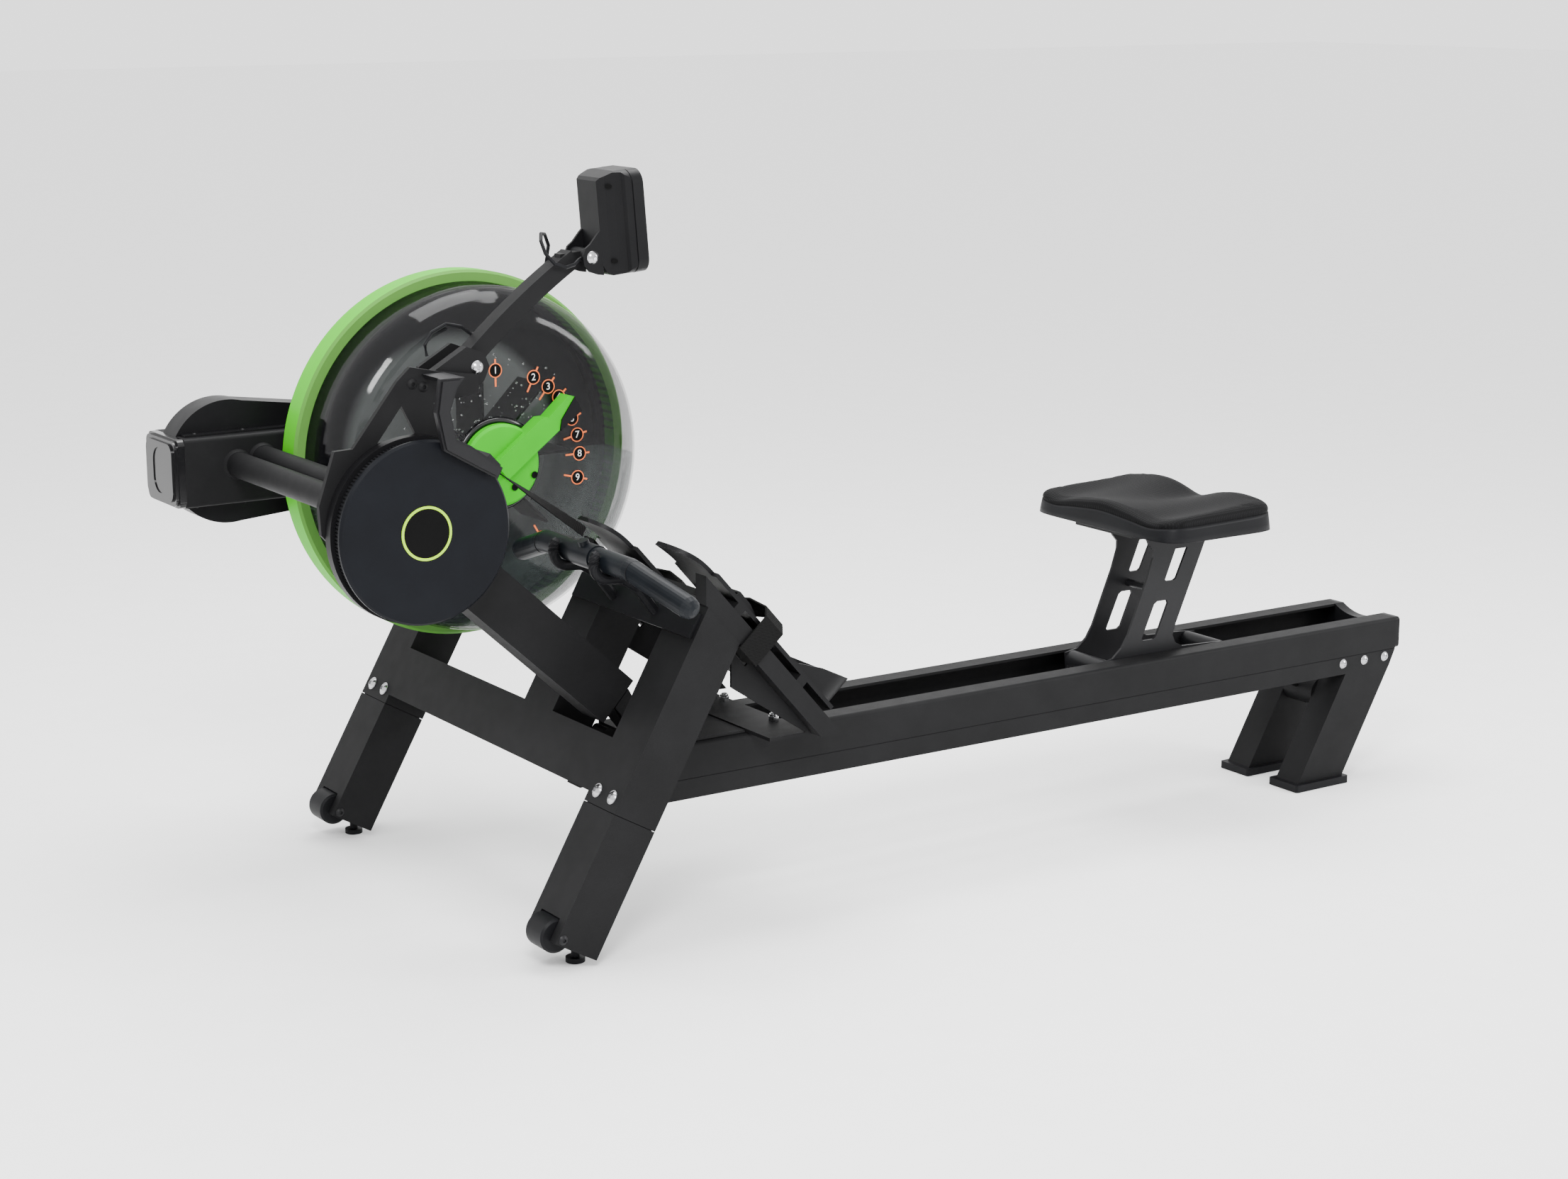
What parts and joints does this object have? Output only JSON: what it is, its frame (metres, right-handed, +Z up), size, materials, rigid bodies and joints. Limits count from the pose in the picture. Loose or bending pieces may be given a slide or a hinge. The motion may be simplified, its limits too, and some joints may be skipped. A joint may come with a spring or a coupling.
{
  "type": "rowing machine",
  "caption": "Water rowing machine with a strap drum, round water tank, footrests, sliding seat on a twin rail and a tilting console.",
  "frame": {"origin": "on the floor, under the middle of the machine's bounding box", "axes": "+X towards the seat end along the rail, +Y towards the tank, +Z up"},
  "size_m": [1.908, 0.8932, 1.0576],
  "materials": {
    "powder_coat": "fine satin powder coat",
    "black_steel": "satin black",
    "bolt_steel": "bright zinc",
    "black_plastic": "satin moulded",
    "black_rubber": "matt",
    "webbing": "woven",
    "ring_green": "satin",
    "lever_green": "satin",
    "clear_shell": "clear smoked",
    "water": "clear",
    "seat_foam": "ribbed"
  },
  "bodies": {
    "frame": {"front_leg_near": "powder_coat", "front_leg_far": "powder_coat", "middle_post": "powder_coat", "crossbar": "powder_coat", "lower_leg_near": "powder_coat", "lower_leg_far": "powder_coat", "frame_fasteners": "bolt_steel", "floor_feet": "black_rubber", "wheel_axles": "black_steel", "rail_near": "powder_coat", "rail_far": "powder_coat", "rail_end_cap": "black_plastic", "rear_leg_frame": "powder_coat", "foot_bracket": "powder_coat", "foot_channel_near": "powder_coat", "foot_channel_far": "powder_coat", "footboard_near": "black_plastic", "footboard_far": "black_plastic", "foot_strap_near": "webbing", "foot_strap_far": "webbing", "inclined_beam": "powder_coat", "front_beam": "powder_coat", "beam_end_cap": "black_plastic", "pulley_guard_top": "black_plastic", "pulley_guard_bottom": "black_plastic", "drive_tubes": "powder_coat", "drum_bracket": "powder_coat", "shaft_bearings": "bolt_steel", "mast": "powder_coat", "mast_clamp": "powder_coat", "strap_guard_arm": "black_steel", "console_cable": "black_rubber", "handle_hooks": "black_rubber", "tank_ring": "ring_green", "tank_shell_front": "clear_shell", "tank_shell_rear": "black_plastic", "tank_water": "water", "drive_belt": "black_rubber", "bungee_cord": "webbing"},
    "wheel_near": {"transport_wheel_near": "black_rubber"},
    "wheel_far": {"transport_wheel_far": "black_rubber"},
    "drum": {"drum_spool": "black_plastic", "drum_cover": "black_plastic"},
    "drive": {"drive_shaft": "bolt_steel", "drive_pulley": "black_plastic"},
    "impeller": {"impeller": "black_plastic"},
    "lever": {"tank_lever": "lever_green", "lever_grip": "black_rubber"},
    "console": {"console_back": "black_plastic", "console_bezel": "black_plastic", "console_bolt": "bolt_steel"},
    "seat": {"seat_pad": "seat_foam", "seat_post": "black_steel"},
    "front_rollers": {"front_rollers": "black_rubber"},
    "rear_rollers": {"rear_rollers": "black_rubber"},
    "heel_near": {"heel_rest_near": "black_plastic"},
    "heel_far": {"heel_rest_far": "black_plastic"},
    "handle": {"handle_bar": "black_rubber", "handle_grips": "black_rubber", "pull_strap": "webbing"}
  },
  "joints": [
    {"name": "wheel_near_spin", "type": "hinge", "parent": "frame", "child": "wheel_near", "pos_m": [-0.68155, -0.3294, 0.04946], "axis": [0, 1, 0], "continuous": true},
    {"name": "wheel_far_spin", "type": "hinge", "parent": "frame", "child": "wheel_far", "pos_m": [-0.68155, 0.3696, 0.04946], "axis": [0, 1, 0], "continuous": true},
    {"name": "handle_pull", "type": "slide", "parent": "frame", "child": "handle", "axis": [0.5736, 0, 0.8192], "range_m": [0, 0.65], "stiffness_N_per_m": 30, "springref_m": -1, "deforming": ["pull_strap"]},
    {"name": "drum_spin", "type": "hinge", "parent": "frame", "child": "drum", "pos_m": [-0.824, -0.2644, 0.606], "axis": [0, 1, 0], "range_deg": [0, 200]},
    {"name": "drive_spin", "type": "hinge", "parent": "frame", "child": "drive", "pos_m": [-0.824, 0.3856, 0.606], "axis": [0, 1, 0], "continuous": true},
    {"name": "impeller_spin", "type": "hinge", "parent": "frame", "child": "impeller", "pos_m": [-0.482, 0.2956, 0.597], "axis": [0, 1, 0], "continuous": true},
    {"name": "lever_turn", "type": "hinge", "parent": "frame", "child": "lever", "pos_m": [-0.482, 0.1556, 0.597], "axis": [0, 1, 0], "range_deg": [-53, 51]},
    {"name": "console_tilt", "type": "hinge", "parent": "frame", "child": "console", "pos_m": [-0.54, -0.2044, 0.941], "axis": [0, 1, 0], "range_deg": [-20, 15]},
    {"name": "seat_slide", "type": "slide", "parent": "frame", "child": "seat", "axis": [1, 0, 0], "range_m": [-0.5, 0.32]},
    {"name": "front_rollers_roll", "type": "hinge", "parent": "seat", "child": "front_rollers", "pos_m": [0.39, -0.2044, 0.2374], "axis": [0, 1, 0], "continuous": true},
    {"name": "rear_rollers_roll", "type": "hinge", "parent": "seat", "child": "rear_rollers", "pos_m": [0.574, -0.2044, 0.2374], "axis": [0, 1, 0], "continuous": true},
    {"name": "heel_near_slide", "type": "slide", "parent": "frame", "child": "heel_near", "axis": [0.6626, 0, -0.749], "range_m": [-0.055, 0.01]},
    {"name": "heel_far_slide", "type": "slide", "parent": "frame", "child": "heel_far", "axis": [0.6626, 0, -0.749], "range_m": [-0.055, 0.01]}
  ],
  "couplings": [
    {"joint": "drum_spin", "follows": "handle_pull", "rad_per_m": 5.2},
    {"joint": "impeller_spin", "follows": "drive_spin", "ratio": 2.6207},
    {"joint": "front_rollers_roll", "follows": "seat_slide", "rad_per_m": 50},
    {"joint": "rear_rollers_roll", "follows": "seat_slide", "rad_per_m": 50}
  ]
}
